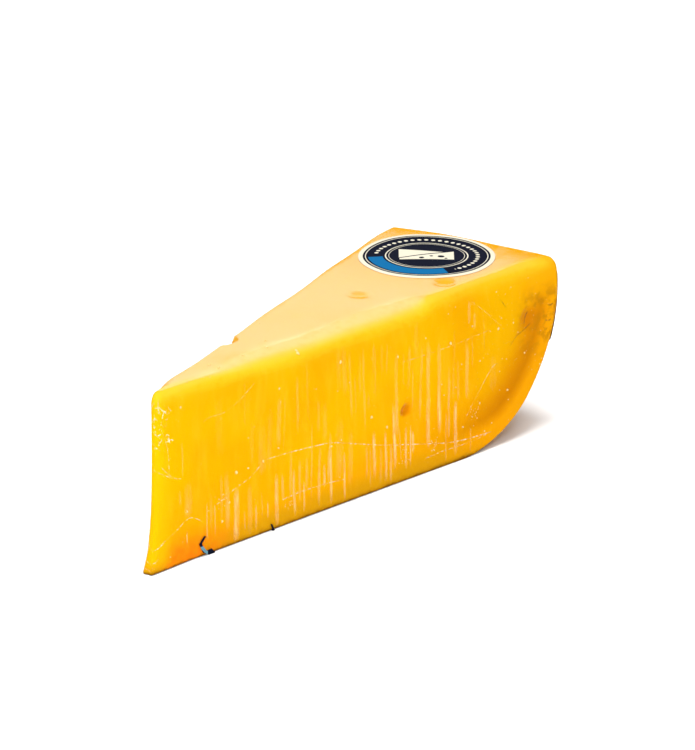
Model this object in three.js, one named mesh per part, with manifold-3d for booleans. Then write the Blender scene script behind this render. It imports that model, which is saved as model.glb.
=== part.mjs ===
// A wedge of aged gouda, skin-packed, with a round label on its cut top. The wheel was halved at mid-height,
// so the top and both long sides are cut faces and only the base and the far end are rind.
// Millimetres, +Z up. +X runs from the thin tip to the rind, and the -Y side is the front cut face.

import * as THREE from "three";
import { mergeVertices } from "three/addons/utils/BufferGeometryUtils.js";
import Module from "manifold-3d";

const wasm = await Module();
wasm.setup();

// The half wheel
const WHEEL_RADIUS = 189.2; // at the bulge of the rind, by the front cut
const BULGE_HEIGHT = 45; // where the rind stands furthest out
const SHOULDER = 44; // how far the rind curves in from the bulge to the flat base
const RIND_SLANT = 1.8; // the wheel isn't quite round: by the back cut the rind stands in by this much
const HEIGHT = 55.5; // base to the cut through the middle of the wheel

// The wedge cut out of it, in coordinates about the wheel's axis
const HALF_ANGLE = THREE.MathUtils.degToRad(9.35);
const TIP_RADIUS = 9.6; // the blunt tip stands this far from the wheel's axis

// Roundness of the edges
const UPPER_ROUND = { front: 4.2, back: 1.4 };
const RIND_ROUND = 3;
const TIP_ROUND = 3.6;
const BASE_ROUND = 0.6;
const FOOT = { forward: 3.6, sideways: 0.8, height: 10, reach: 14 }; // the tip's foot is pressed outwards

// Wear of the upper front edge: it sinks slowly away from the tip and recovers in one step
const SAG = { depth: 2.3, start: 12, full: 82, step: 124, end: 133, reach: 5, height: 16 };

// Unevenness of the faces: wave heights and lengths along the wedge
const CUT_WAVE = { height: 0.3, length: 62 };
const TOP_WAVE = { height: 0.35, length: 48 };
const RIND_WAVE = { height: 0.5, length: THREE.MathUtils.degToRad(13) };
const BACK_BULGE = { height: 0.9, at: 27, reach: 13 }; // the back cut stands proud near the tip
const FLAT_BASE = 12; // the waves fade over this height above the base
const FLAT_RIM = 14; // and over this distance from the rind's upper edge

// Cells of the mapped block along the wedge, across it and up it, and how much they crowd the edges
const CELLS = { along: 60, across: 14, up: 20 };
const CROWDING = 0.62;

// Labels
const LABEL_THICK = 0.3;
const LABEL_GAP = 0.06;
const LABEL_ROUND = 3;
const TOP_LABEL = { radius: 21.2, x: 162.4, y: 2.8 };
const RIND_LABEL = { low: 27, high: 52, near: -30.1, far: 12 };
const BASE_LABEL = { near: 27.4, far: 62, inset: 5, margin: 0.3, recess: 0.45, rest: 0.05 };
const FOLD_OFF = 0.12; // from the cut face to the turned-up corners of the base label

const { clamp, lerp, smoothstep } = THREE.MathUtils;
const bell = (distance, reach) => Math.exp(-((distance / reach) ** 2));

// A point given by distance from the wheel's axis, angle and height
function polar(rho, theta, z) {
  return new THREE.Vector3(rho * Math.cos(theta), rho * Math.sin(theta), z);
}

// How strongly the foot of the tip is pressed out at a height
const footPress = (z) => Math.exp(-((z / FOOT.height) ** 1.3));

// The rind's curve, from the base at 0 through the bulge to the top at 1
function rindCurve(up, theta) {
  const atTop = Math.asin(HEIGHT / BULGE_HEIGHT - 1);
  const turn = lerp(-Math.PI / 2, atTop, up);
  const slant = RIND_SLANT * smoothstep(theta, -HALF_ANGLE, HALF_ANGLE);
  const swell = RIND_WAVE.height * Math.sin((2 * Math.PI * theta) / RIND_WAVE.length);
  const reach = (SHOULDER - slant + swell) * Math.cos(turn);
  return { rho: WHEEL_RADIUS - SHOULDER + reach, z: BULGE_HEIGHT * (1 + Math.sin(turn)) };
}

// Moves cell lines towards both ends of the range -1 to 1
function crowd(s) {
  return s + (CROWDING * Math.sin(Math.PI * s)) / Math.PI;
}

// Rounds the edges of the block by shares of its half sizes. The edge between the base and the rind is
// left alone, because the rind's curve already runs smoothly into the base there.
function soften(block, share) {
  const core = new THREE.Vector3(
    clamp(block.x, share.x - 1, 1 - share.x),
    clamp(block.y, share.y - 1, 1 - share.y),
    clamp(block.z, share.z - 1, 1 - share.z),
  );
  const out = block.clone().sub(core).divide(share);
  const underRind = block.x > 0 && block.z < 0;
  const inPlane = underRind ? Math.max(Math.abs(out.x), Math.abs(out.z)) : Math.hypot(out.x, out.z);
  out.divideScalar(Math.hypot(inPlane, out.y));
  return core.add(out.multiply(share));
}

// Sinking of the worn upper front edge at a point
function sag(rho, fromFront, fromTop) {
  const along = smoothstep(rho, SAG.start, SAG.full) * (1 - smoothstep(rho, SAG.step, SAG.end));
  return SAG.depth * along * bell(fromFront, SAG.reach) * bell(fromTop, SAG.height);
}

// Takes a point on the surface of a block, each coordinate from -1 to 1, to the wedge
function wedgePoint(corner) {
  const block = new THREE.Vector3(crowd(corner.x), crowd(corner.y), crowd(corner.z));
  const length = WHEEL_RADIUS - TIP_RADIUS;
  const roughHalf = (TIP_RADIUS + (length * (block.x + 1)) / 2) * HALF_ANGLE;
  const longRound = lerp(UPPER_ROUND.front, UPPER_ROUND.back, (block.y + 1) / 2);
  const endRound = block.x > 0 ? RIND_ROUND : TIP_ROUND;
  const upperRound = lerp(longRound, endRound, smoothstep(Math.abs(block.x), 0.8, 1));
  const round = lerp(BASE_ROUND, upperRound, smoothstep(block.z, -1, -0.7));
  const share = new THREE.Vector3(
    (2 * round) / length,
    Math.min(0.8, round / roughHalf),
    (2 * round) / HEIGHT,
  );
  const { x: along, y: across, z: up } = soften(block, share);

  // The rind's curve spreads into level lines towards the tip
  const rind = rindCurve((up + 1) / 2, across * HALF_ANGLE);
  let z = lerp((HEIGHT * (up + 1)) / 2, rind.z, smoothstep(along, 0.1, 1));
  const foot = footPress(z);
  const tip = TIP_RADIUS - FOOT.forward * foot;
  const rho = lerp(tip, rind.rho, (along + 1) / 2);
  const half = rho * HALF_ANGLE + FOOT.sideways * foot * bell(rho - tip, FOOT.reach);
  let q = across * half;

  // Waves of the two long cuts, which fade where the base rests flat
  const lift = smoothstep(z, 0, FLAT_BASE);
  const wave = CUT_WAVE.height * Math.sin((2 * Math.PI * rho) / CUT_WAVE.length + 0.09 * z);
  q += Math.abs(across) ** 3 * wave * lift;
  q += Math.max(0, across) * BACK_BULGE.height * bell(rho - BACK_BULGE.at, BACK_BULGE.reach) * lift;

  // Waves of the top, and its worn front edge
  const topWave = TOP_WAVE.height * Math.sin((2 * Math.PI * rho) / TOP_WAVE.length) * Math.cos(q / 9);
  const fade = smoothstep(z, HEIGHT - FLAT_BASE, HEIGHT) * smoothstep(WHEEL_RADIUS - rho, 0, FLAT_RIM);
  z += topWave * fade - sag(rho, half + q, HEIGHT - z);
  return polar(rho, q / rho, z);
}

function wedgeGeometry() {
  const block = new THREE.BoxGeometry(2, 2, 2, CELLS.along, CELLS.across, CELLS.up);
  const position = block.getAttribute("position");
  const point = new THREE.Vector3();
  for (let i = 0; i < position.count; i++) {
    point.fromBufferAttribute(position, i);
    position.setXYZ(i, ...wedgePoint(point));
  }
  return block;
}

// A closed geometry as a solid that can be joined and cut
function solidOf(geometry) {
  const bare = geometry.clone();
  bare.deleteAttribute("normal");
  bare.deleteAttribute("uv");
  const merged = mergeVertices(bare, 1e-3);
  return new wasm.Manifold(
    new wasm.Mesh({
      numProp: 3,
      vertProperties: merged.getAttribute("position").array,
      triVerts: new Uint32Array(merged.index.array),
    }),
  );
}

function geometryOf(solid) {
  const mesh = solid.getMesh();
  const geometry = new THREE.BufferGeometry();
  geometry.setAttribute("position", new THREE.BufferAttribute(mesh.vertProperties, 3));
  geometry.setIndex(new THREE.BufferAttribute(mesh.triVerts, 1));
  geometry.computeVertexNormals();
  return geometry;
}

const onFront = (rho, z, out = 0) => polar(rho, -HALF_ANGLE - out / rho, z);
const onBack = (rho, z, out = 0) => polar(rho, HALF_ANGLE + out / rho, z);

// An eye is a bubble that a cut opened: a ball's middle, its half sizes along the face, across it and
// upwards, and its turn about the vertical
const EYES = [
  { at: onFront(118.9, 22.6, 0.7), size: [2.6, 2.6, 2.3], turn: -HALF_ANGLE },
  { at: onFront(174.5, 38, 1.5), size: [6, 2.6, 6], turn: -HALF_ANGLE },
  { at: onFront(47.3, 27.3, 0.5), size: [0.9, 1.1, 0.8], turn: -HALF_ANGLE },
  { at: polar(120.2, 0, HEIGHT + 1), size: [4.4, 4.2, 2.3], turn: 0 },
  { at: polar(145.2, -0.106, HEIGHT + 0.9), size: [4.6, 3.9, 2.9], turn: 0.5 },
  { at: onBack(63.2, HEIGHT - 0.4, -0.2), size: [4.9, 3.8, 3.4], turn: HALF_ANGLE },
  { at: onBack(96, 31, 0.6), size: [3, 2.6, 2.6], turn: HALF_ANGLE },
  { at: onBack(139, 17, 0.7), size: [2.4, 2.3, 2.2], turn: HALF_ANGLE },
];

function eye({ at, size, turn }) {
  const ball = new THREE.SphereGeometry(1, 18, 12);
  ball.scale(...size);
  ball.rotateZ(turn);
  ball.translate(...at);
  return solidOf(ball);
}

function cheeseSolid(body) {
  let cheese = body.subtract(baseRecess());
  for (const bubble of EYES) cheese = cheese.subtract(eye(bubble));
  return cheese;
}

function slab(shape, depth) {
  return new THREE.ExtrudeGeometry(shape, { depth, bevelEnabled: false, curveSegments: 5 });
}

// A rectangle with round corners, from its lowest corner to its highest
function roundedOutline(x0, y0, x1, y1, round) {
  const shape = new THREE.Shape();
  shape.absarc(x1 - round, y1 - round, round, 0, Math.PI / 2);
  shape.absarc(x0 + round, y1 - round, round, Math.PI / 2, Math.PI);
  shape.absarc(x0 + round, y0 + round, round, Math.PI, 1.5 * Math.PI);
  shape.absarc(x1 - round, y0 + round, round, 1.5 * Math.PI, 2 * Math.PI);
  return shape;
}

// The part of a body's skin inside a column: a thin layer that follows the facets
function skin(body, direction, column) {
  const inside = direction.clone().multiplyScalar(LABEL_GAP);
  const outside = direction.clone().multiplyScalar(LABEL_GAP + LABEL_THICK);
  const grown = body.translate(outside.toArray()).intersect(column);
  return grown.subtract(body.translate(inside.toArray()));
}

function topLabel(body) {
  const column = new THREE.CylinderGeometry(TOP_LABEL.radius, TOP_LABEL.radius, 12, 72);
  column.rotateX(Math.PI / 2);
  column.translate(TOP_LABEL.x, TOP_LABEL.y, HEIGHT);
  return skin(body, new THREE.Vector3(0, 0, 1), solidOf(column));
}

function rindLabel(body) {
  const { low, high, near, far } = RIND_LABEL;
  const column = slab(roundedOutline(near, low, far, high, LABEL_ROUND), SHOULDER);
  column.rotateX(Math.PI / 2);
  column.rotateZ(Math.PI / 2);
  column.translate(WHEEL_RADIUS - SHOULDER / 2, 0, 0);
  return skin(body, new THREE.Vector3(1, 0, 0), solidOf(column));
}

// Corners of the base label that are turned up on the front face: points of distance from the wheel's
// axis and height, of which the first two lie on the base
const TORN_CORNER = [
  [31, 0.05], [33.6, 0.05], [32.3, 1.6], [31.2, 1.5], [30.2, 1.4], [29.5, 2.1], [28.4, 3.5],
  [28, 4.4], [29.8, 6.1], [29.3, 6.4], [27, 4.3], [28, 2.4], [28.8, 1.2], [30, 0.6],
];
const FOLDS = [TORN_CORNER, [[58.9, 0.05], [59.6, 0.05], [58.5, 2.3], [58.1, 2.3]]];

// The outline of the base label, which widens with the wedge, grown by a margin
function baseOutline(margin) {
  const { near, far, inset } = BASE_LABEL;
  const side = (rho) => rho * Math.tan(HALF_ANGLE);
  const shape = new THREE.Shape();
  shape.moveTo(near - margin, -side(near) + 1 - margin);
  shape.lineTo(far + margin, -side(far) + inset - margin);
  shape.lineTo(far + margin, side(far) - inset + margin);
  shape.lineTo(near - margin, side(near) - 1 + margin);
  return shape;
}

function foldSolid(points) {
  const plate = slab(new THREE.Shape(points.map((point) => new THREE.Vector2(...point))), LABEL_THICK);
  plate.rotateX(Math.PI / 2);
  plate.translate(0, -FOLD_OFF, 0);
  plate.rotateZ(-HALF_ANGLE);
  return solidOf(plate);
}

// A strip along the base between a fold and the flat part of the label, grown by a margin
function hinge(points, margin, thick, middle) {
  const [[first], [last]] = points;
  const reach = BASE_LABEL.inset + FOLD_OFF + LABEL_THICK + margin;
  const strip = new THREE.BoxGeometry(last - first + 2 * margin, reach, thick);
  strip.translate((first + last) / 2, BASE_LABEL.inset - reach / 2, middle);
  strip.rotateZ(-HALF_ANGLE);
  return solidOf(strip);
}

function baseLabel() {
  const flat = slab(baseOutline(0), LABEL_THICK);
  flat.translate(0, 0, BASE_LABEL.rest);
  let label = solidOf(flat);
  for (const points of FOLDS) {
    const strip = hinge(points, 0, LABEL_THICK, BASE_LABEL.rest + LABEL_THICK / 2);
    label = label.add(foldSolid(points)).add(strip);
  }
  return label;
}

// The hollow in the base that takes the label, open below
function baseRecess() {
  const { recess, margin } = BASE_LABEL;
  const deep = 1 + recess;
  const hollow = slab(baseOutline(margin), deep);
  hollow.translate(0, 0, recess - deep);
  let recessed = solidOf(hollow);
  for (const points of FOLDS) recessed = recessed.add(hinge(points, margin, deep, recess - deep / 2));
  return recessed;
}

function named(name, solid, color, roughness) {
  const material = new THREE.MeshStandardMaterial({ color, roughness, metalness: 0 });
  const mesh = new THREE.Mesh(geometryOf(solid), material);
  mesh.name = name;
  return mesh;
}

const body = solidOf(wedgeGeometry());
const part = new THREE.Group();
part.add(named("cheese", cheeseSolid(body), 0xf7b512, 0.35));
part.add(named("top_label", topLabel(body), 0x14192b, 0.3));
part.add(named("rind_label", rindLabel(body), 0x14141c, 0.3));
part.add(named("base_label", baseLabel(), 0x14192b, 0.3));

// The origin is the middle of the footprint's box, on the surface that the wedge stands on
const bounds = new THREE.Box3().setFromObject(part);
part.position.set(-(bounds.min.x + bounds.max.x) / 2, -(bounds.min.y + bounds.max.y) / 2, 0);

export default part;
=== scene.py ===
# A wedge of aged gouda in its tight film, with its labels, the light and the camera.
# Lengths are millimetres until a mesh is made. The wheel's axis stands at the origin of the wheel's own
# coordinates, +X runs from the tip to the rind, and the -Y side is the front cut face.

import math
import random
from functools import partialmethod

import bpy
import numpy as np
from mathutils import Matrix, Vector, noise
from mathutils.bvhtree import BVHTree


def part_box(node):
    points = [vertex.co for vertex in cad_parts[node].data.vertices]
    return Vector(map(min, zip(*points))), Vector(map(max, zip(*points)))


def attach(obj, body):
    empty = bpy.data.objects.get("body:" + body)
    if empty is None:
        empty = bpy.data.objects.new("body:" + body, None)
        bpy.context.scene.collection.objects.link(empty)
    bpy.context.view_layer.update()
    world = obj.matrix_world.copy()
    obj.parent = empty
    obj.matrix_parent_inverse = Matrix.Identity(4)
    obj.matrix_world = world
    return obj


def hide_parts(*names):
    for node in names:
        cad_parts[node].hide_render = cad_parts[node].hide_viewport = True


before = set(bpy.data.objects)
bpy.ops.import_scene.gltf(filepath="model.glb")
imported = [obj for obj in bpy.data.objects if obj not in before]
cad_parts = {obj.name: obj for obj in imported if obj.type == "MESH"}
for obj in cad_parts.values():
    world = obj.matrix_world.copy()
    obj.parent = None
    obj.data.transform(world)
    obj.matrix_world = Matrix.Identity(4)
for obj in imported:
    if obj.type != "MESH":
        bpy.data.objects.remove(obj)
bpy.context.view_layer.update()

MM = 0.001
BODY = "root"

# The half wheel, as the solid has it
WHEEL_RADIUS = 189.2
BULGE_HEIGHT = 45
SHOULDER = 44
RIND_SLANT = 1.8
HEIGHT = 55.5
HALF_ANGLE = math.radians(9.35)
TIP_RADIUS = 9.6
FRONT_ROUND = 4.2
BACK_ROUND = 1.4
RIND_ROUND = 3
TIP_ROUND = 3.6
BASE_ROUND = 0.6
FOOT_FORWARD = 3.6
FOOT_SIDEWAYS = 0.8
FOOT_HEIGHT = 10
FOOT_REACH = 14
FOOT_FALL = 1.3
SAG_DEPTH = 2.3
SAG_START, SAG_FULL, SAG_STEP, SAG_END = 12, 82, 124, 133
SAG_REACH = 5
SAG_HEIGHT = 16
FLAT_BASE = 12
FLAT_RIM = 14

# The faces' waves (height, length) and the bulge of the back face (height, distance from the axis, reach)
CUT_WAVE = (0.3, 62)
WAVE_LEAN = 0.09
TOP_WAVE = (0.35, 48)
TOP_WAVE_SIDE = 9
RIND_WAVE = (0.5, math.radians(13))
BACK_BULGE = (0.9, 27, 13)

# Where the mapped block changes over to the end faces, the rind and the rounding of the base
END_BLEND = 0.8
RIND_BLEND = 0.1
BASE_BLEND = -0.7
MOST_ROUND = 0.8

# The layers, from the paste outwards
PASTE_INSET = 0.16
CRYSTAL_LIFT = 0.02
SMEAR_LIFT = 0.05
LABEL_LIFT = 0.24

# The lattice of the fine surface
LATTICE = (236, 58, 80)
CROWDING = 0.62

# The photograph's camera
IMAGE_WIDTH, IMAGE_HEIGHT = 695, 750
SENSOR = 36
AZIMUTH = math.radians(-56.65)
ELEVATION = math.radians(19.2)
DISTANCE = 2500
PIXELS_PER_MM = 3.2851
AIM = Vector((12.67, 0.4, 28))
AIM_RIGHT = 2.04
AIM_UP = 4.23


# Sums on arrays


def lerp(a, b, t):
    return a + (b - a) * t


def smoothstep(x, low, high):
    t = np.clip((x - low) / (high - low), 0, 1)
    return t * t * (3 - 2 * t)


def bell(distance, reach):
    return np.exp(-((distance / reach) ** 2))


# The wedge's surface


def foot_press(z):
    """How strongly the tip's foot is pressed out at a height."""
    return np.exp(-((np.maximum(z, 0) / FOOT_HEIGHT) ** FOOT_FALL))


def rind_curve(up, theta):
    """The rind's distance from the axis and height, from the base at 0 to the top at 1."""
    at_top = math.asin(HEIGHT / BULGE_HEIGHT - 1)
    turn = lerp(-math.pi / 2, at_top, up)
    slant = RIND_SLANT * smoothstep(theta, -HALF_ANGLE, HALF_ANGLE)
    swell = RIND_WAVE[0] * np.sin(2 * math.pi * theta / RIND_WAVE[1])
    reach = (SHOULDER - slant + swell) * np.cos(turn)
    return WHEEL_RADIUS - SHOULDER + reach, BULGE_HEIGHT * (1 + np.sin(turn))


def soften(block, share):
    """Rounds the block's edges by a share of its half size, but not the edge under the rind."""
    core = np.clip(block, share - 1, 1 - share)
    out = (block - core) / share
    level = np.abs(out[:, [0, 2]])
    under_rind = (block[:, 0] > 0) & (block[:, 2] < 0)
    in_plane = np.where(under_rind, level.max(axis=1), np.hypot(level[:, 0], level[:, 1]))
    return core + out / np.hypot(in_plane, out[:, 1])[:, None] * share


def sag(rho, from_front, from_top):
    """How far the upper front edge has sunk with wear."""
    along = smoothstep(rho, SAG_START, SAG_FULL) * (1 - smoothstep(rho, SAG_STEP, SAG_END))
    return SAG_DEPTH * along * bell(from_front, SAG_REACH) * bell(from_top, SAG_HEIGHT)


def wedge_surface(block):
    """Lattice corners in -1 to 1 become points (distance from the axis, offset along the arc, height)."""
    length = WHEEL_RADIUS - TIP_RADIUS
    rough_half = (TIP_RADIUS + length * (block[:, 0] + 1) / 2) * HALF_ANGLE
    long_round = lerp(FRONT_ROUND, BACK_ROUND, (block[:, 1] + 1) / 2)
    end_round = np.where(block[:, 0] > 0, RIND_ROUND, TIP_ROUND)
    upper_round = lerp(long_round, end_round, smoothstep(np.abs(block[:, 0]), END_BLEND, 1))
    rounding = lerp(BASE_ROUND, upper_round, smoothstep(block[:, 2], -1, BASE_BLEND))
    share = np.column_stack(
        [2 * rounding / length, np.minimum(MOST_ROUND, rounding / rough_half), 2 * rounding / HEIGHT]
    )
    along, across, up = soften(block, share).T

    rind_rho, rind_z = rind_curve((up + 1) / 2, across * HALF_ANGLE)
    z = lerp(HEIGHT * (up + 1) / 2, rind_z, smoothstep(along, RIND_BLEND, 1))
    foot = foot_press(z)
    tip = TIP_RADIUS - FOOT_FORWARD * foot
    rho = lerp(tip, rind_rho, (along + 1) / 2)
    half = rho * HALF_ANGLE + FOOT_SIDEWAYS * foot * bell(rho - tip, FOOT_REACH)
    q = across * half

    lift = smoothstep(z, 0, FLAT_BASE)
    wave = CUT_WAVE[0] * np.sin(2 * math.pi * rho / CUT_WAVE[1] + WAVE_LEAN * z)
    q += np.abs(across) ** 3 * wave * lift
    bulge, bulge_at, bulge_reach = BACK_BULGE
    q += np.maximum(0, across) * bulge * bell(rho - bulge_at, bulge_reach) * lift

    top_wave = TOP_WAVE[0] * np.sin(2 * math.pi * rho / TOP_WAVE[1]) * np.cos(q / TOP_WAVE_SIDE)
    fade = smoothstep(z, HEIGHT - FLAT_BASE, HEIGHT) * smoothstep(WHEEL_RADIUS - rho, 0, FLAT_RIM)
    z += top_wave * fade - sag(rho, half + q, HEIGHT - z)
    return np.column_stack([rho, q, z])


def from_polar(polar):
    """(distance, offset along the arc, height) about the wheel's axis, as points."""
    rho, q, z = np.asarray(polar, float).reshape(-1, 3).T
    return np.column_stack([rho * np.cos(q / rho), rho * np.sin(q / rho), z])


def on_front(rho, z, out=0.0):
    return from_polar([rho, -HALF_ANGLE * rho - out, z])[0]


def on_back(rho, z, out=0.0):
    return from_polar([rho, HALF_ANGLE * rho + out, z])[0]


FRONT_OUT = np.array([-math.sin(HALF_ANGLE), -math.cos(HALF_ANGLE), 0])
BACK_OUT = FRONT_OUT * [1, -1, 1]
TOP_OUT = np.array([0, 0, 1.0])

# The eyes: centre of the ball, half sizes along, across and up, turn about the vertical, way into the paste
EYES = [
    (on_front(118.9, 22.6, 0.7), (2.6, 2.6, 2.3), -HALF_ANGLE, -FRONT_OUT),
    (on_front(174.5, 38, 1.5), (6, 2.6, 6), -HALF_ANGLE, -FRONT_OUT),
    (on_front(47.3, 27.3, 0.5), (0.9, 1.1, 0.8), -HALF_ANGLE, -FRONT_OUT),
    (np.array([120.2, 0, HEIGHT + 1]), (4.4, 4.2, 2.3), 0, -TOP_OUT),
    (from_polar([145.2, -0.106 * 145.2, HEIGHT + 0.9])[0], (4.6, 3.9, 2.9), 0.5, -TOP_OUT),
    (on_back(63.2, HEIGHT - 0.4, -0.2), (4.9, 3.8, 3.4), HALF_ANGLE, -(BACK_OUT + TOP_OUT) / 1.414),
    (on_back(96, 31, 0.6), (3, 2.6, 2.6), HALF_ANGLE, -BACK_OUT),
    (on_back(139, 17, 0.7), (2.4, 2.3, 2.2), HALF_ANGLE, -BACK_OUT),
]
EYE_RIM = 0.3
FRINGE_ASIDE, FRINGE_REACH = 0.5, 1.15


def ball_depth(points, centre, half, turn, way):
    """How far each point inside an eye's ball lies from the far side of it, along the way in."""
    spin = np.array([[math.cos(turn), -math.sin(turn), 0], [math.sin(turn), math.cos(turn), 0], [0, 0, 1]])
    p = (points - centre) @ spin / np.array(half)
    d = way @ spin / np.array(half)
    a, b, c = d @ d, p @ d, (p * p).sum(axis=1) - 1
    reach = (np.sqrt(np.maximum(b * b - a * c, 0)) - b) / a
    reach = np.where(c < 0, reach, 0)
    return reach * reach / (reach + EYE_RIM)


def press_eyes(points, share):
    """Sinks the surface into the eyes by a share of their depth."""
    pressed = points.copy()
    for centre, half, turn, way in EYES:
        pressed += way * (share * ball_depth(points, centre, half, turn, way))[:, None]
    return pressed


def hollow(points):
    """How deep each point of the surface lies in an eye."""
    return sum(ball_depth(points, *eye) for eye in EYES)


def eye_fringe(points):
    """From 0 to 1 round the round eye of the front face, more on the side of the rind, where the eye's
    painted shade spreads past its hollow.
    """
    centre, half, turn, _ = EYES[0]
    along = (points - centre) @ [math.cos(turn), math.sin(turn), 0]
    up = points[:, 2] - centre[2]
    aside = points @ FRONT_OUT - centre @ FRONT_OUT
    return bell(np.hypot(np.hypot(along - half[0] * FRINGE_ASIDE, up), aside), half[0] * FRINGE_REACH)


# Meshes


def lattice_lines(count, peaks):
    """Places from -1 to 1, closer together towards the ends and round the peaks (place, reach, gain)."""
    s = np.linspace(-1, 1, 4001)
    density = 1 / (1 + CROWDING * np.cos(math.pi * s))
    for at, reach, gain in peaks:
        density += gain * bell(s - at, reach)
    total = np.cumsum(density)
    total = (total - total[0]) / (total[-1] - total[0])
    return np.interp(np.linspace(0, 1, count), total, s)


def shell_lattice(xs, ys, zs):
    """The outside of a block of cells: its corners and its faces, turned outwards."""
    sizes = len(xs), len(ys), len(zs)
    index = np.full(sizes, -1)
    i, j, k = np.indices(sizes)
    skin = (i == 0) | (i == sizes[0] - 1) | (j == 0) | (j == sizes[1] - 1) | (k == 0) | (k == sizes[2] - 1)
    index[skin] = np.arange(skin.sum())
    corners = np.column_stack([xs[i[skin]], ys[j[skin]], zs[k[skin]]])
    sides = [index[:, :, -1], index[:, :, 0].T, index[:, 0, :], index[:, -1, :].T, index[-1], index[0].T]
    quads = [
        np.stack([s[:-1, :-1], s[1:, :-1], s[1:, 1:], s[:-1, 1:]], axis=-1).reshape(-1, 4) for s in sides
    ]
    return corners, np.vstack(quads)


def point_normals(points, quads):
    a, b, c, d = (points[quads[:, n]] for n in range(4))
    normals = np.cross(c - a, d - b)
    sums = [[np.bincount(quads[:, n], way, len(points)) for n in range(4)] for way in normals.T]
    total = np.column_stack([sum(parts) for parts in sums])
    return total / np.linalg.norm(total, axis=1)[:, None]


def add_object(name, points, faces, **fields):
    """A smooth mesh from points in millimetres, and its fields, which hold a value for each point."""
    mesh = bpy.data.meshes.new(name)
    mesh.from_pydata((np.asarray(points) * MM).tolist(), [], [list(face) for face in faces])
    mesh.shade_smooth()
    for key, values in fields.items():
        made = mesh.attributes.new(key, "FLOAT", "POINT")
        made.data.foreach_set("value", np.ascontiguousarray(values, np.float32))
    piece = bpy.data.objects.new(name, mesh)
    bpy.context.scene.collection.objects.link(piece)
    return piece


def dress(piece, name, build):
    piece.data.materials.append(make_material(name, build))
    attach(piece, BODY)


# Node trees


class Wire:
    """A value in a node tree, so that a sum of nodes reads as a sum."""

    def __init__(self, tree, socket):
        self.tree = tree
        self.socket = socket

    def calc(self, operation, *terms):
        made = self.tree.nodes.new("ShaderNodeMath")
        made.operation = operation
        for socket, term in zip(made.inputs, (self, *terms)):
            feed(self.tree, socket, term)
        return Wire(self.tree, made.outputs[0])

    __add__ = partialmethod(calc, "ADD")
    __sub__ = partialmethod(calc, "SUBTRACT")
    __mul__ = partialmethod(calc, "MULTIPLY")
    __truediv__ = partialmethod(calc, "DIVIDE")
    __pow__ = partialmethod(calc, "POWER")
    size = partialmethod(calc, "ABSOLUTE")
    below = partialmethod(calc, "LESS_THAN")
    above = partialmethod(calc, "GREATER_THAN")
    most = partialmethod(calc, "MAXIMUM")
    least = partialmethod(calc, "MINIMUM")

    def rest(self):
        """What is left of 1."""
        return self * -1 + 1

    def fit(self, low, high, to_low=0.0, to_high=1.0):
        """Stretches the range low to high to the range to_low to to_high, smoothly, and holds its ends."""
        made = self.tree.nodes.new("ShaderNodeMapRange")
        made.interpolation_type = "SMOOTHSTEP"
        for socket, term in zip(made.inputs, (self, low, high, to_low, to_high)):
            feed(self.tree, socket, term)
        return Wire(self.tree, made.outputs[0])


def feed(tree, socket, term):
    if isinstance(term, Wire):
        tree.links.new(term.socket, socket)
    elif isinstance(term, tuple) and socket.type == "RGBA":
        socket.default_value = (*term, 1)
    else:
        socket.default_value = term


def make_material(name, build):
    """A material whose surface is the shader that build makes in its node tree."""
    material = bpy.data.materials.new(name)
    material.use_nodes = True
    tree = material.node_tree
    tree.nodes.clear()
    shader = build(tree)
    output = tree.nodes.new("ShaderNodeOutputMaterial")
    tree.links.new(shader.socket, output.inputs[0])
    return material


def add_node(tree, kind, output, inputs, **settings):
    made = tree.nodes.new(kind)
    for name, value in settings.items():
        setattr(made, name, value)
    for name, term in inputs.items():
        feed(tree, made.inputs[name], term)
    return Wire(tree, made.outputs[output])


def field(tree, name):
    return add_node(tree, "ShaderNodeAttribute", "Fac", {}, attribute_name=name)


def axis(tree, letter):
    """One of the piece's own coordinates in millimetres."""
    raw = add_node(tree, "ShaderNodeTexCoord", "Object", {})
    return add_node(tree, "ShaderNodeSeparateXYZ", letter, {"Vector": raw}) / MM


def cloud(tree, grain, detail=3.0, roughness=0.5, stretch=(1, 1, 1)):
    """Noise from 0 to 1 whose blotches are about grain millimetres across, or more where stretched."""
    raw = add_node(tree, "ShaderNodeTexCoord", "Object", {})
    scale = tuple(s / MM for s in stretch)
    where = add_node(tree, "ShaderNodeMapping", "Vector", {"Vector": raw, "Scale": scale})
    inputs = {"Vector": where, "Scale": 1 / grain, "Detail": detail, "Roughness": roughness}
    return add_node(tree, "ShaderNodeTexNoise", "Fac", inputs)


def ramp(tree, value, stops):
    """A colour for each value from 0 to 1, through the stops (place, colour)."""
    made = tree.nodes.new("ShaderNodeValToRGB")
    elements = made.color_ramp.elements
    while len(elements) < len(stops):
        elements.new(1)
    for element, (at, colour) in zip(elements, stops):
        element.position = at
        element.color = (*colour, 1)
    feed(tree, made.inputs[0], value)
    return Wire(tree, made.outputs[0])


def blend(share, a, b):
    """Colour a where the share is 0 and colour b where it is 1. The sockets are those for colours."""
    tree = share.tree
    made = tree.nodes.new("ShaderNodeMix")
    made.data_type = "RGBA"
    for socket, term in zip((made.inputs[0], made.inputs[6], made.inputs[7]), (share, a, b)):
        feed(tree, socket, term)
    return Wire(tree, made.outputs[2])


def bump(tree, height, depth, strength=1.0):
    """A relief of depth millimetres."""
    inputs = {"Height": height, "Distance": depth * MM, "Strength": strength}
    return add_node(tree, "ShaderNodeBump", "Normal", inputs)


def principled(tree, colour, roughness, specular=0.5, **inputs):
    named = {"Base Color": colour, "Roughness": roughness, "Specular IOR Level": specular}
    named.update((name.replace("_", " "), term) for name, term in inputs.items())
    return add_node(tree, "ShaderNodeBsdfPrincipled", 0, named)


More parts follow.
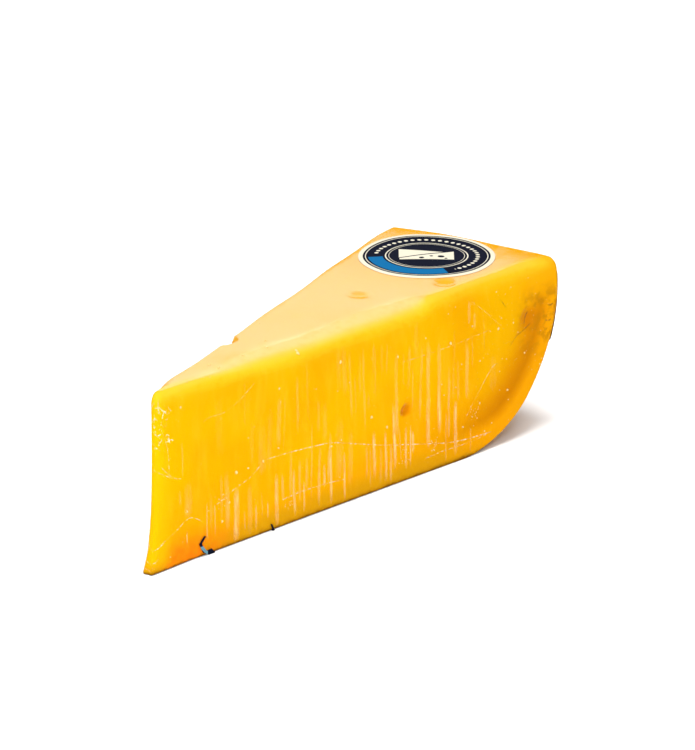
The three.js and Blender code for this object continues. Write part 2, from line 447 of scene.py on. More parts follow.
def see_through(tree, solid, shader):
    clear = add_node(tree, "ShaderNodeBsdfTransparent", 0, {})
    return add_node(tree, "ShaderNodeMixShader", 0, {0: solid, 1: clear, 2: shader})


# Colours, as light reflected from 0 to 1 in red, green and blue
PASTE = (0.83, 0.425, 0.0006)
PASTE_DEEP = (0.82, 0.38, 0.0006)
# Paste lower down: warmer, and darker as painted shade of the light from above
PASTE_LOW_SHADE = (0.8, 0.33, 0.001)
PASTE_PALE = (0.87, 0.48, 0.012)
RIND_EDGE = (0.86, 0.35, 0.002)
RIND_DARK = (0.6, 0.2, 0.001)
RIND_INNER = (0.7, 0.27, 0.001)
RIND_TOP = (0.88, 0.35, 0.002)
CORNER_ORANGE = (0.88, 0.38, 0.002)
OLIVE = (0.5, 0.19, 0.003)
# Along the base: olive that is partly the rind's own colour and partly painted shade, then painted shade
# low down
BASE_OLIVE_AND_SHADE = (0.62, 0.3, 0.004)
BASE_SHADE = (0.46, 0.2, 0.004)
FOOT_RED = (0.86, 0.2, 0.004)
# Painted shade in the eyes, darker with depth, and round the front eye
EYE_SHADE = (0.64, 0.2, 0.001)
EYE_FRINGE_SHADE = (0.82, 0.3, 0.001)
EYE_TOP_SHADE = (0.85, 0.4, 0.015)
# The top's colours: a painted sheen of the film, less of it by the rind, more where the sunk edge slopes,
# and painted light along the front edge
TOP_SHEEN = (0.87, 0.47, 0.12)
TOP_BY_RIND = (0.86, 0.4, 0.06)
TOP_EDGE_LIGHT = (0.9, 0.52, 0.05)
TOP_SLOPE_SHEEN = (0.95, 0.6, 0.22)
PEACH = (0.96, 0.6, 0.18)
PEACH_PALE = (0.98, 0.7, 0.28)
STRAW = (0.97, 0.65, 0.15)
# Painted contact shade along the very bottom edge
CONTACT_SHADE = (0.16, 0.06, 0.003)
# Brown of the dark marks: painted shade in an eye and in a fold, and dark lines along cracks
BROWN = (0.2, 0.06, 0.002)
# Painted light on the tip's face
TIP_LIT = (0.86, 0.47, 0.002)
# Painted highlight along the rounded upper front edge
EDGE_HIGHLIGHT = (0.94, 0.54, 0.02)
CRYSTAL = (0.86, 0.55, 0.1)
CRYSTAL_PALE = (0.95, 0.76, 0.38)
CREAM = (0.83, 0.78, 0.62)
NAVY = (0.006, 0.008, 0.02)
SKY = (0.006, 0.15, 0.37)
SPECK_YELLOW = (0.9, 0.55, 0.03)
CREASE_DULL = (0.8, 0.5, 0.2)
GLINT = (1.0, 0.88, 0.6)
LABEL_BROWN = (0.03, 0.008, 0.006)
MARGIN_BLUE = (0.13, 0.3, 0.38)
WHITE = (1, 1, 1)
FLOOR_SEEN = ((0.68, 0.68, 0.68), (0.7, 0.7, 0.7))
FLOOR_BOUNCE = (0.5, 0.5, 0.5)

# The colours inwards from the rind, and how far they reach into the paste
RIND_BANDS = [(0.0, RIND_EDGE), (0.17, RIND_EDGE), (0.34, RIND_DARK), (0.56, RIND_INNER), (1.0, PASTE)]
RIND_REACH = 26


def mottled_paste(tree, broad, height):
    """The paste away from rind and base: yellow with pale upright columns, and warmer lower down, where it
    is also darkened as painted shade of the light from above.
    """
    colour = blend(broad.fit(0.35, 0.65), PASTE, PASTE_DEEP)
    columns = cloud(tree, 3.4, 3, 0.6, stretch=(1, 1, 0.2))
    colour = blend(columns.fit(0.45, 0.75, 0, 0.45), colour, PASTE_PALE)
    # Painted shade: warmer and darker towards the base
    return blend(height.fit(26, 4, 0, 0.55), colour, PASTE_LOW_SHADE)


def add_rind(tree, colour, uneven, height, cut_top):
    """Deeper colours along the rind on the cut sides, under an orange corner."""
    depth = field(tree, "rind_depth")
    within = field(tree, "near_rind") * (depth + uneven).fit(RIND_REACH, 10) * cut_top.rest()
    below_corner = height.fit(50, 38)
    colour = blend(within * below_corner.rest() * 0.75, colour, CORNER_ORANGE)
    bands = ramp(tree, (depth + uneven * 0.45) / RIND_REACH, RIND_BANDS)
    return blend(within * below_corner, colour, bands)


def add_top(tree, colour, broad, fine, uneven, cut_top):
    """The top, pale with a painted sheen of the film, with more painted sheen where the sunk front edge
    slopes and less by the rind, painted light along the front edge, and orange round the rind's and the
    back's edge.
    """
    near_rind = field(tree, "near_rind")
    # Share of painted sheen where the sunk front edge slopes away from the film's reflection
    worn = field(tree, "worn")
    painted_top = blend(near_rind * broad.fit(0.35, 0.6, 0.5, 1), TOP_SHEEN, TOP_BY_RIND)
    painted_top = blend(worn, painted_top, TOP_SLOPE_SHEEN)
    from_edge = field(tree, "from_front") + uneven * 0.25 + worn * 2.2
    # Painted light along the top's front edge
    painted_top = blend(from_edge.fit(6.5, 3), painted_top, TOP_EDGE_LIGHT)
    colour = blend(field(tree, "top") * fine.fit(0.25, 0.6, 0.8, 1), colour, painted_top)
    by_rind = (field(tree, "rind_depth") + uneven * 0.5).fit(12, 5) * near_rind
    by_back = (field(tree, "from_back") + (fine - 0.5) * 3).fit(3.2, 1.2)
    rim = by_rind.most(by_back * near_rind.fit(0, 0.4, 0, 0.8))
    return blend(rim * cut_top, colour, RIND_TOP)


def add_base(tree, colour, fine, uneven, height):
    """Olive along the base, partly the rind's own colour and partly painted shade, painted shade and
    painted contact shade darkest at the very bottom, and a red foot under the tip.
    """
    base = (height + uneven * 0.35).fit(9, 2.5) * field(tree, "near_rind").rest()
    # Olive band along the base: partly the rind's own colour, partly painted shade
    colour = blend(base * 0.85, colour, BASE_OLIVE_AND_SHADE)
    # Painted shade over the lowest two millimetres
    colour = blend((height + (fine - 0.5) * 2).fit(2.4, 0.2) * 0.8, colour, BASE_SHADE)
    foot = field(tree, "foot") * fine.fit(0.3, 0.6, 0.5, 1)
    colour = blend(foot, colour, FOOT_RED)
    # Painted contact shade along the very bottom
    return blend((height + (fine - 0.5) * 1.2).fit(1.2, 0.2) * 0.85, colour, CONTACT_SHADE)


def add_marks(tree, colour, fine, speck, cut_top):
    """Painted light on the tip and along the upper edge, mottling by the rind, pale specks, and painted
    shade in and round the eyes.
    """
    # Painted light on the tip
    colour = blend(field(tree, "tip"), colour, TIP_LIT)
    # Painted highlight along the upper front edge
    colour = blend(field(tree, "edge") * fine.fit(0.3, 0.6, 0.55, 0.95), colour, EDGE_HIGHLIGHT)
    mould = field(tree, "mottle") * cloud(tree, 3.2, 5, 0.65).fit(0.42, 0.58)
    colour = blend(mould * 0.75, colour, OLIVE)
    colour = blend(speck.fit(0.62, 0.75, 0, 0.3), colour, SPECK_YELLOW)
    # Painted shade round the front eye
    colour = blend(field(tree, "round_eye") * 0.8, colour, EYE_FRINGE_SHADE)
    # Painted shade in the eyes, darker where they are deeper
    eye = field(tree, "hollow").fit(0.02, 0.9, 0, 0.92)
    return blend(eye, colour, blend(cut_top, EYE_SHADE, EYE_TOP_SHADE))


def paste_shader(tree):
    """The cut paste: yellow, deeper towards the rind and the base, with fine grain and mottling; painted
    shade lower down, at the base and in the eyes, and painted sheen and light on the top, the tip and the
    upper edge.
    """
    broad = cloud(tree, 26, 2)
    fine = cloud(tree, 2.6, 4)
    speck = cloud(tree, 0.7, 3, 0.6)
    uneven = (broad - 0.5) * 6 + (fine - 0.5) * 3
    height = field(tree, "height")
    cut_top = height.fit(53, 55)

    colour = mottled_paste(tree, broad, height)
    colour = add_rind(tree, colour, uneven, height, cut_top)
    colour = add_top(tree, colour, broad, fine, uneven, cut_top)
    colour = add_base(tree, colour, fine, uneven, height)
    colour = add_marks(tree, colour, fine, speck, cut_top)
    return principled(
        tree,
        colour,
        fine.fit(0.3, 0.7, 0.42, 0.6),
        0.0,
        Subsurface_Weight=0.15,
        Subsurface_Radius=(2.6, 1.1, 0.2),
        Subsurface_Scale=MM,
        Normal=bump(tree, fine * 0.7 + speck * 0.3, 0.12),
    )


# The film's sheen: the facing where it begins and ends to rise, its values there, and its limit
SHEEN_FACING = (0.37, 0.72)
SHEEN_LEAST, SHEEN_RISE = 0.001, 0.06
SHEEN_MOST = 0.075


def film_shader(tree):
    """Clear film drawn tight: nearly unseen face on, and a pale sheen at a low angle."""
    pulled = cloud(tree, 3, 3, stretch=(0.35, 1, 0.35))
    slack = cloud(tree, 9, 2)
    normal = bump(tree, pulled * 0.5 + slack, 0.5, 0.3)
    facing = add_node(tree, "ShaderNodeLayerWeight", "Facing", {"Blend": 0.5})
    patch = cloud(tree, 7, 4, 0.6).fit(0.32, 0.6, 0.6, 1)
    most = (field(tree, "calm") * patch * 0.95).rest() * SHEEN_MOST
    sheen = facing.fit(*SHEEN_FACING, SHEEN_LEAST, SHEEN_RISE).least(most)
    gloss = add_node(
        tree, "ShaderNodeBsdfGlossy", 0, {"Color": WHITE, "Roughness": 0.16, "Normal": normal}
    )
    return see_through(tree, sheen, gloss)


def ribbon(tree):
    """On a ribbon: how far across a point lies, and how strongly the ribbon shows along its length."""
    return field(tree, "across").size(), field(tree, "ends") * field(tree, "strength")


def smear_shader(tree):
    """Whey and fat drawn out in soft upright streaks."""
    across, shown = ribbon(tree)
    patchy = cloud(tree, 1.6, 3, stretch=(1, 1, 0.22))
    upper = axis(tree, "Z").fit(14, 30)
    cover = (across * across).rest() * shown * patchy.fit(0.28, 0.62, 0.3, 1) * (upper * 0.4).rest()
    colour = blend(upper, blend(patchy, PEACH, PEACH_PALE), STRAW)
    return see_through(tree, cover, principled(tree, colour, 0.4, 0.1))


def crease_shader(tree):
    """Doubled film along a crease: clear, with white glints."""
    across, shown = ribbon(tree)
    glint = cloud(tree, 1.3, 4, 0.7).fit(0.46, 0.6, 0.12, 1)
    colour = blend(glint, CREASE_DULL, GLINT)
    cover = (across * across).rest() * shown * glint
    return see_through(tree, cover, principled(tree, colour, 0.25, 0.5))


def mark_shader(tree):
    """Brown lines: painted shade in an eye and along a fold of the film, and dark lines along cracks."""
    across, shown = ribbon(tree)
    broken = cloud(tree, 1.2, 3).fit(0.35, 0.6, 0.3, 1)
    return see_through(tree, across.rest() * shown * broken, principled(tree, BROWN, 0.6))


def crystal_shader(tree):
    grain = cloud(tree, 0.5, 2)
    return principled(
        tree,
        blend(grain, CRYSTAL, CRYSTAL_PALE),
        0.45,
        0.3,
        Subsurface_Weight=0.3,
        Subsurface_Radius=(1.0, 0.6, 0.3),
        Subsurface_Scale=MM,
    )


def label_shader(tree, colour):
    """Smooth printed paper, almost without gloss."""
    grain = cloud(tree, 0.35, 3)
    return principled(
        tree,
        colour,
        grain.fit(0.3, 0.7, 0.35, 0.5),
        0.001,
        Normal=bump(tree, grain, 0.02),
    )


# The round label's print, outwards from its middle
TOP_LABEL_AT = (162.4, 2.8)
TOP_LABEL_RADIUS = 21.2
PAPER_RIM = 19.75
CREAM_RINGS = ((18.9, 0.14), (12.7, 0.2), (11.7, 0.09))
BEADS = 46
BEAD_RING = 15.8
BEAD_RADIUS = 0.66
ARC_BAND = (13.6, 18.1)
ARC_MIDDLE = math.radians(237)
ARC_HALF = math.radians(54)

# The little wedge in its middle: half its width, the rise of its near edge, and the lines that bound it
WEDGE_HALF = 8.4
WEDGE_RISE, WEDGE_FALL = 0.42, 0.2
WEDGE_NEAR, WEDGE_FAR, WEDGE_TIP = 1.4, 4.6, -8.6
SIDE_TOP, SIDE_BOTTOM, SIDE_FOOT = 0.7, -8.9, -4.2
WEDGE_EYES = ((4.4, -1.2, 1.05), (-1.6, -2.6, 0.8), (1.4, -0.9, 0.55), (5.9, -3.1, 0.5))


def ring(r, radius, half):
    return (r - radius).size().below(half)


def little_wedge(u, v):
    """A wedge of cheese: a slanted top, a cut side under it and eyes in the side."""
    above_edge = v - u * WEDGE_RISE
    top_face = (v + u * WEDGE_FALL).below(WEDGE_FAR) * above_edge.above(WEDGE_NEAR) * u.above(WEDGE_TIP)
    side = above_edge.below(SIDE_TOP) * above_edge.above(SIDE_BOTTOM)
    side = side * v.above(SIDE_FOOT) * u.size().below(WEDGE_HALF)
    for at_u, at_v, radius in WEDGE_EYES:
        side = side * ((u - at_u) ** 2.0 + (v - at_v) ** 2.0).above(radius**2)
    return top_face.most(side)


def top_label_shader(tree):
    """Navy with cream rings, an arc of beads, a blue arc and a little wedge of cheese."""
    u, v = field(tree, "u"), field(tree, "v")
    r = (u * u + v * v) ** 0.5

    cream = r.above(PAPER_RIM).most(little_wedge(u, v))
    for radius, half in CREAM_RINGS:
        cream = cream.most(ring(r, radius, half))

    turn = 2 * math.pi / BEADS
    off = (v.calc("ARCTAN2", u) / turn).calc("FRACT") - 0.5
    bead_side = off * (turn * BEAD_RING)
    bead = ((r - BEAD_RING) ** 2.0 + bead_side * bead_side).below(BEAD_RADIUS**2)
    turned = (u * math.cos(ARC_MIDDLE) + v * math.sin(ARC_MIDDLE)) / r
    cream = cream.most(bead * turned.below(math.cos(ARC_HALF + 1.5 * turn)))
    low, high = ARC_BAND
    blue = ring(r, (low + high) / 2, (high - low) / 2) * turned.above(math.cos(ARC_HALF))

    colour = blend(cream, blend(blue, NAVY, SKY), CREAM)
    return label_shader(tree, colour)


# The rind label's print: half the sides of its frame, half the frame's line, and its bars
FRAME_HALF = (18.9, 10.7)
FRAME_LINE = 0.22
BARS_AT, BARS_HALF, BARS_REACH = 2.2, 0.35, 14
BLUE_BAR_HALF, BLUE_BAR_REACH = 1.1, 11


def rind_label_shader(tree):
    """A dark label with a cream line round it and plain bars."""
    u, v = field(tree, "u").size(), field(tree, "v").size()
    line = (u - FRAME_HALF[0]).most(v - FRAME_HALF[1]).size().below(FRAME_LINE)
    bars = ring(v, BARS_AT, BARS_HALF) * u.below(BARS_REACH)
    colour = blend(line.most(bars), LABEL_BROWN, CREAM)
    colour = blend(v.below(BLUE_BAR_HALF) * u.below(BLUE_BAR_REACH), colour, SKY)
    return label_shader(tree, colour)


# The base label's pale margin: a band along a slanted line in X and Z, on the turned-up corner
MARGIN_SLOPE = (0.72, 0.695)
MARGIN_OFF = 47.9
MARGIN_HALF = 0.7
MARGIN_END = -67.3
MARGIN_LOW, MARGIN_HIGH = 0.3, 3.4


def base_label_shader(tree):
    """Dark print on the foot of the wrapper, with a pale blue margin where its corner is turned up."""
    x, z = axis(tree, "X"), axis(tree, "Z")
    band = (x * MARGIN_SLOPE[0] + z * MARGIN_SLOPE[1] + MARGIN_OFF).size().below(MARGIN_HALF)
    blue = band * x.below(MARGIN_END) * z.above(MARGIN_LOW) * z.below(MARGIN_HIGH)
    return label_shader(tree, blend(blue, NAVY, MARGIN_BLUE))


# The paste and its film


# Where the lattice crowds round the eyes (place, gain), along the wedge and up it, and over what reach
CROWD_ALONG = ((47, 1), (63, 2), (96, 2), (120, 3), (145, 3))
CROWD_UP = ((22.6, 1.5), (31, 1))
CROWD_REACH_ALONG, CROWD_REACH_UP = 0.05, 0.1


def fine_lattice():
    length = WHEEL_RADIUS - TIP_RADIUS
    along = [(2 * (rho - TIP_RADIUS) / length - 1, CROWD_REACH_ALONG, gain) for rho, gain in CROWD_ALONG]
    up = [(2 * z / HEIGHT - 1, CROWD_REACH_UP, gain) for z, gain in CROWD_UP]
    return shell_lattice(*(lattice_lines(count, peaks) for count, peaks in zip(LATTICE, (along, [], up))))


BLOCK, QUADS = fine_lattice()
POLAR = wedge_surface(BLOCK)
WHEEL = from_polar(POLAR)
LOW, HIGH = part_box("cheese")
SHIFT = (np.array(LOW) + np.array(HIGH)) / 2 / MM - (WHEEL.min(axis=0) + WHEEL.max(axis=0)) / 2
SHIFT[2] = 0

# The base label's bed, a shallow press in the underside
BED_NEAR, BED_FAR = 27.1, 62.3
BED_EDGE = 0.4
BED_SIDE = (0.3, 0.7)
BED_DEPTH = 0.46


def press_bed(points):
    rho = np.hypot(points[:, 0], points[:, 1])
    side = rho * HALF_ANGLE - np.abs(np.arctan2(points[:, 1], points[:, 0])) * rho
    inside = smoothstep(rho, BED_NEAR - BED_EDGE, BED_NEAR) * smoothstep(rho, BED_FAR + BED_EDGE, BED_FAR)
    inside = inside * smoothstep(side, *BED_SIDE) * (points[:, 2] < 1)
    pressed = points.copy()
    pressed[:, 2] = np.maximum(pressed[:, 2], BED_DEPTH * inside)
    return pressed


def rind_depth(rho, z):
    """How deep a place lies under the rind, measured from its side or, inwards of that, from the base."""
    bulge = WHEEL_RADIUS - SHOULDER
    under = SHOULDER - np.hypot(rho - bulge, z - BULGE_HEIGHT)
    return np.where(rho < bulge, z, np.where(z < BULGE_HEIGHT, under, WHEEL_RADIUS - rho))


def make_paste():
    """The paste, with what its shader needs to know at each point."""
    points = press_bed(press_eyes(WHEEL, 1.0))
    points = points - point_normals(points, QUADS) * PASTE_INSET
    rho, q, z = POLAR.T
    from_front = rho * HALF_ANGLE + q
    sunk = sag(rho, from_front, 0)
    slope = sunk * from_front * 2 / SAG_REACH**2
    from_edge = np.hypot(from_front, HEIGHT - z - sag(rho, 0, 0))
    upright = smoothstep(z, 22, 32) * smoothstep(z, 50, 42)
    paste = add_object(
        "cheese_paste",
        points + SHIFT,
        QUADS,
        rind_depth=np.clip(rind_depth(rho, z), 0, 60),
        from_back=rho * HALF_ANGLE - q,
        from_front=from_front,
        near_rind=smoothstep(rho, 122, 164),
        height=z,
        # Depth in an eye, which sets the eye's painted shade
        hollow=hollow(WHEEL),
        # Painted sheen where the sunk front edge slopes
        worn=smoothstep(slope, 0.01, 0.14),
        # Where the top takes its painted sheen
        top=smoothstep(z - HEIGHT + sunk, -1.8, -0.5),
        # Painted shade round the front eye
        round_eye=eye_fringe(WHEEL),
        foot=smoothstep(rho, 48, 24) * smoothstep(rho, 8, 17) * smoothstep(z, 12, 2),
        # Painted light on the tip
        tip=smoothstep(rho, 18, 10) * smoothstep(z, 0, 5) * 0.75,
        # Painted highlight along the rounded upper front edge
        edge=bell(from_edge, 2.9) * smoothstep(WHEEL_RADIUS - rho, 0, 6),
        mottle=smoothstep(rho, 166, 178) * upright * smoothstep(from_front, 9, 1),
    )
    dress(paste, "paste", paste_shader)
    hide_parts("cheese")


# How far the film sinks into the eyes, and the waves of its pull
FILM_EYE_SHARE = 0.62
PULL_GRAIN = 7
PULL_DEPTH = 0.05


def make_film():
    """The film, which half spans the eyes. Returns its points, on which all the rest is laid."""
    points = press_bed(press_eyes(WHEEL, FILM_EYE_SHARE))
    normals = point_normals(points, QUADS)
    pull = np.array([noise.noise(Vector(p / PULL_GRAIN)) for p in points])
    points = points + normals * (PULL_DEPTH * (pull - 1) * (points[:, 2] > 1))[:, None]
    rho, q, z = POLAR.T
    by_rind = smoothstep(rho, 118, 152) * smoothstep(rind_depth(rho, z), 32, 9)
    by_back = smoothstep(rho * HALF_ANGLE - q, 3.5, 1) * smoothstep(z, 50, 54) * smoothstep(rho, 60, 110)
    film = add_object("film", points + SHIFT, QUADS, calm=np.maximum(by_rind, by_back))
    dress(film, "clear_film", film_shader)
    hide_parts("cheese")
    return points


make_paste()
SKIN = BVHTree.FromPolygons(make_film().tolist(), QUADS.tolist())


def on_film(point, lift=0.0):
    """The nearest place on the film to a point in the wheel's coordinates, raised by lift."""
    at, normal, _, _ = SKIN.find_nearest(Vector(point))
    return np.array(at + normal * lift)


# Strips laid along the surface


def corner_spot(w, z):
    """Round the tip's front edge: on along the front face, or back across the tip where w is negative."""
    tip = TIP_RADIUS - FOOT_FORWARD * foot_press(z)
    if w < 0:
        return from_polar([tip - 1, -HALF_ANGLE * TIP_RADIUS - w, z])[0]
    return on_front(tip + w, z)


def top_spot(x, y):
    return np.array([x, y, HEIGHT])


def spread(route, step):
    """Points step apart along a polyline, smoothed by cutting its corners twice."""
    points = np.array(route, float)
    for _ in range(2):
        cut = [points[0]]
        for a, b in zip(points[:-1], points[1:]):
            cut += [lerp(a, b, 0.25), lerp(a, b, 0.75)]
        points = np.array([*cut, points[-1]])
    lengths = np.concatenate([[0], np.cumsum(np.linalg.norm(np.diff(points, axis=0), axis=1))])
    count = max(3, int(lengths[-1] / step) + 1)
    places = np.linspace(0, lengths[-1], count)
    return np.column_stack([np.interp(places, lengths, points[:, axis]) for axis in range(2)])


class Strips:
    """Ribbons on the film, gathered into one mesh."""

    def __init__(self, ribs):
        self.ribs = ribs
        self.points, self.faces = [], []
        self.values = {"across": [], "ends": [], "strength": []}

    def add(self, spot, route, width, strength, step=0.8, taper=0.2):
        """A ribbon along a route on one side. Each rib is (place across from -1 to 1, lift)."""
        line = spread(route, step)
        way = np.gradient(line, axis=0)
        way /= np.linalg.norm(way, axis=1)[:, None]
        side = np.column_stack([-way[:, 1], way[:, 0]])
        first = len(self.points)
        count = len(self.ribs)
        for n, centre in enumerate(line):
            along = n / (len(line) - 1)
            ends = min(1, along / taper, (1 - along) / taper)
            for across, lift in self.ribs:
                at = centre + side[n] * across * width / 2 * (0.5 + 0.5 * min(1, 3 * ends))
                self.points.append(on_film(spot(*at), lift * (0.3 + 0.7 * ends)))
                for values, value in zip(self.values.values(), (across, ends, strength)):
                    values.append(value)
        for n in range(len(line) - 1):
            for rib in range(count - 1):
                a = first + n * count + rib
                self.faces.append((a, a + 1, a + count + 1, a + count))

    def build(self, name, material, shader):
        piece = add_object(name, np.array(self.points) + SHIFT, self.faces, **self.values)
        piece.visible_shadow = False
        dress(piece, material, shader)


# Upright streaks on the front: distance from the axis, lowest and highest point, width and strength
STREAKS = [
    (20, 27, 39, 0.6, 0.4), (22, 5, 10, 0.5, 0.6), (30.5, 4.5, 17, 0.6, 0.6), (34, 5, 15.5, 0.6, 0.6),
    (43, 0.6, 18, 2.0, 0.7), (47, 3, 10, 0.5, 0.5), (52, 1.7, 10.5, 0.8, 0.6), (57, 4, 10, 0.6, 0.6),
    (61, 0.6, 17.5, 1.4, 0.75), (62, 25.5, 42, 1.6, 0.5), (69, 1.8, 17, 1.0, 0.6), (70, 28, 47, 1.0, 0.45),
    (73, 2, 12, 0.7, 0.6), (82, 7.5, 15.5, 0.9, 0.7), (85, 1, 25, 1.0, 0.8), (91, 1, 17, 0.8, 0.7),
    (94, 26, 48, 0.9, 0.45), (100, 21, 48.5, 0.9, 0.4), (104, 4, 20, 1.2, 0.8), (109.5, 2, 19, 1.0, 0.8),
    (113.7, 4.7, 26.7, 1.2, 0.9), (114.5, 14.5, 43, 1.3, 0.7), (118.5, 3.5, 18, 0.9, 0.75),
    (120.5, 3.7, 17.6, 0.6, 0.7), (122, 7.5, 15.5, 0.9, 0.7), (125, 18, 42, 1.0, 0.55),
    (129, 7, 43.5, 1.5, 0.9), (134, 10.5, 41.5, 1.5, 0.9), (138, 8, 32.5, 0.9, 0.6),
    (141.3, 2, 20.5, 1.2, 0.9), (142, 19.5, 33.5, 0.9, 0.6), (146, 19, 39, 1.4, 0.9),
    (147, 43, 51, 1.2, 0.7), (149.5, 40.5, 47, 1.0, 0.6),
]
STREAK_SIDES = ((on_front, STREAKS), (on_back, []))
STREAK_WIDER, STREAK_FAINTER = 1.35, 0.85
STREAK_STEP = 1.4
STREAK_GAP = 0.2
STREAK_TOP = 51
STREAK_SEED = 11

# Faint streaks on each side: how many are tried, their widths and the range of their strength
FAINT_STREAKS = 190
FAINT_WIDTHS = (0.8, 1.4, 2.4, 3.6)
FAINT_STRENGTH = (0.14, 0.42)
SMEAR_RIBS = [(across, SMEAR_LIFT) for across in (-1, -0.75, -0.4, 0, 0.4, 0.75, 1)]


def wobbly(rng, rho, low, high):
    """An upright route that wanders a little."""
    lean = rng.uniform(-0.035, 0.02)
    count = max(3, int((high - low) / 4))
    return [
        (rho + lean * (z - low) + rng.uniform(-0.16, 0.16), z) for z in np.linspace(low, high, count)
    ]


def faint_streak(rng):
    """A streak's distance from the axis, lowest and highest point and width."""
    rho = rng.triangular(16, 166, 118)
    low = rng.choice((abs(rng.gauss(0, 7)) + 0.8, rng.uniform(12, 38)))
    high = min(low + rng.uniform(5, 26), STREAK_TOP)
    return rho, low, high, rng.choice(FAINT_WIDTHS)


def apart(a, b):
    """Whether two streaks leave a gap between them."""
    beside = abs(a[0] - b[0]) > (a[3] + b[3]) / 2 + STREAK_GAP
    return beside or a[1] > b[2] or a[2] < b[1]


def make_smears():
    rng = random.Random(STREAK_SEED)
    strips = Strips(SMEAR_RIBS)
    for spot, chosen in STREAK_SIDES:
        taken = []
        for rho, low, high, width, strength in chosen:
            taken.append((rho, low, high, width * STREAK_WIDER))
            route = wobbly(rng, rho, low, high)
            strips.add(spot, route, width * STREAK_WIDER, strength * STREAK_FAINTER, STREAK_STEP)
        for _ in range(FAINT_STREAKS):
            streak = faint_streak(rng)
            if not all(apart(streak, other) for other in taken):
                continue
            taken.append(streak)
            *where, width = streak
            strength = rng.uniform(*FAINT_STRENGTH) * (1.2 - 0.2 * width)
            strips.add(spot, wobbly(rng, *where), width, strength, STREAK_STEP)
    strips.build("smears", "smear", smear_shader)


# Creases in the film on the front face, as routes of distance from the axis and height, with a strength
FRONT_CREASES = [
    ([(34, 14.7), (43, 18), (50, 19.3), (56, 23.2)], 0.5),
    ([(56, 23.2), (67, 22.8), (73, 22.4), (84.5, 21.5), (92.5, 19), (107.5, 14.4), (127, 9.6),
      (141, 6.4), (158.5, 5.7)], 0.9),
    ([(29, 42.2), (33, 43.1), (38, 42.4), (44.6, 44.5), (51.6, 49)], 0.25),
    ([(9.5, 8.1), (17, 10.7), (23, 14.6), (28.5, 11.2)], 0.4),
    ([(11, 33), (15.7, 28.1), (20, 27)], 0.35),
    ([(145, 12.5), (150, 19), (155, 24.5), (158.5, 27.5), (161, 27.2)], 0.35),
    ([(113.5, 38.6), (134, 38.5), (141, 38.5), (157, 39)], 0.35),
    ([(63, 8.5), (71, 9), (84.5, 8.6), (93.3, 7.6)], 0.5),
    ([(127, 4.8), (136, 5.3), (148, 4.6), (157, 5.8)], 0.45),
    ([(147.4, 51), (156.6, 44), (163.6, 37.3)], 0.18),
]

# Creases that run round the tip's front edge: distance round it and height, with a strength
TIP_CREASES = [
    ([(0.9, 54.2), (0.7, 51.8), (2.4, 50.2), (4, 49.3)], 0.7),
    ([(-1.8, 32.6), (0.4, 31.3), (3, 30), (6.7, 27.7)], 0.5),
    ([(-3.4, 9.5), (-0.7, 7.3), (1.3, 7.4), (4.3, 8.9)], 0.8),
    ([(-2.4, 4.4), (0.2, 3), (2.4, 4.6)], 0.6),
    ([(-3, 2.4), (-0.5, 1.5), (1.5, 2.2)], 0.5),
    ([(-1.5, 44), (0.6, 42.4), (2.2, 43.6), (3, 41.5)], 0.8),
    ([(-2, 40.5), (0, 39), (1.6, 37.8)], 0.7),
    ([(3.2, 41), (4.6, 36), (4.8, 30)], 0.35),
]
TIP_WRINKLES = 34
BACK_CREASES = 16
CREASE_SEED = 4
CREASE_WIDTH, WRINKLE_WIDTH = 0.4, 0.35
CREASE_STEP, TIP_STEP, WRINKLE_STEP = 0.6, 0.4, 0.3
CREASE_TAPER, WRINKLE_TAPER = 0.06, 0.2
CREASE_LIFT, CREASE_FOOT = 0.16, 0.01
CREASE_RIBS = [
    (-1, CREASE_FOOT),
    (-0.35, CREASE_LIFT * 0.7),
    (0, CREASE_LIFT),
    (0.35, CREASE_LIFT * 0.7),
    (1, CREASE_FOOT),
]


def tip_wrinkle(rng):
    w, z = rng.uniform(-2.6, 4.5), rng.triangular(34, 53, 50)
    route = [(w, z)]
    for _ in range(3):
        w, z = w + rng.uniform(-0.3, 1.2), z + rng.uniform(-1.4, 1.2)
        route.append((w, min(z, 53.5)))
    return route


def back_crease(rng):
    rho, z = rng.uniform(30, 160), rng.uniform(6, 46)
    route = [(rho, z)]
    for _ in range(4):
        rho, z = rho + rng.uniform(4, 12), min(max(z + rng.uniform(-5, 5), 3), 50)
        route.append((min(rho, 172), z))
    return route


def make_creases():
    rng = random.Random(CREASE_SEED)
    strips = Strips(CREASE_RIBS)
    for route, strength in FRONT_CREASES:
        strips.add(on_front, route, CREASE_WIDTH, strength, CREASE_STEP, CREASE_TAPER)
    for route, strength in TIP_CREASES:
        strips.add(corner_spot, route, CREASE_WIDTH, strength, TIP_STEP, CREASE_TAPER)
    for _ in range(TIP_WRINKLES):
        route = tip_wrinkle(rng)
        strips.add(corner_spot, route, WRINKLE_WIDTH, rng.uniform(0.3, 1), WRINKLE_STEP, WRINKLE_TAPER)
    for _ in range(BACK_CREASES):
        route = back_crease(rng)
        strips.add(on_back, route, CREASE_WIDTH, rng.uniform(0.3, 0.8), CREASE_STEP, CREASE_TAPER)
    strips.build("film_creases", "film_crease", crease_shader)


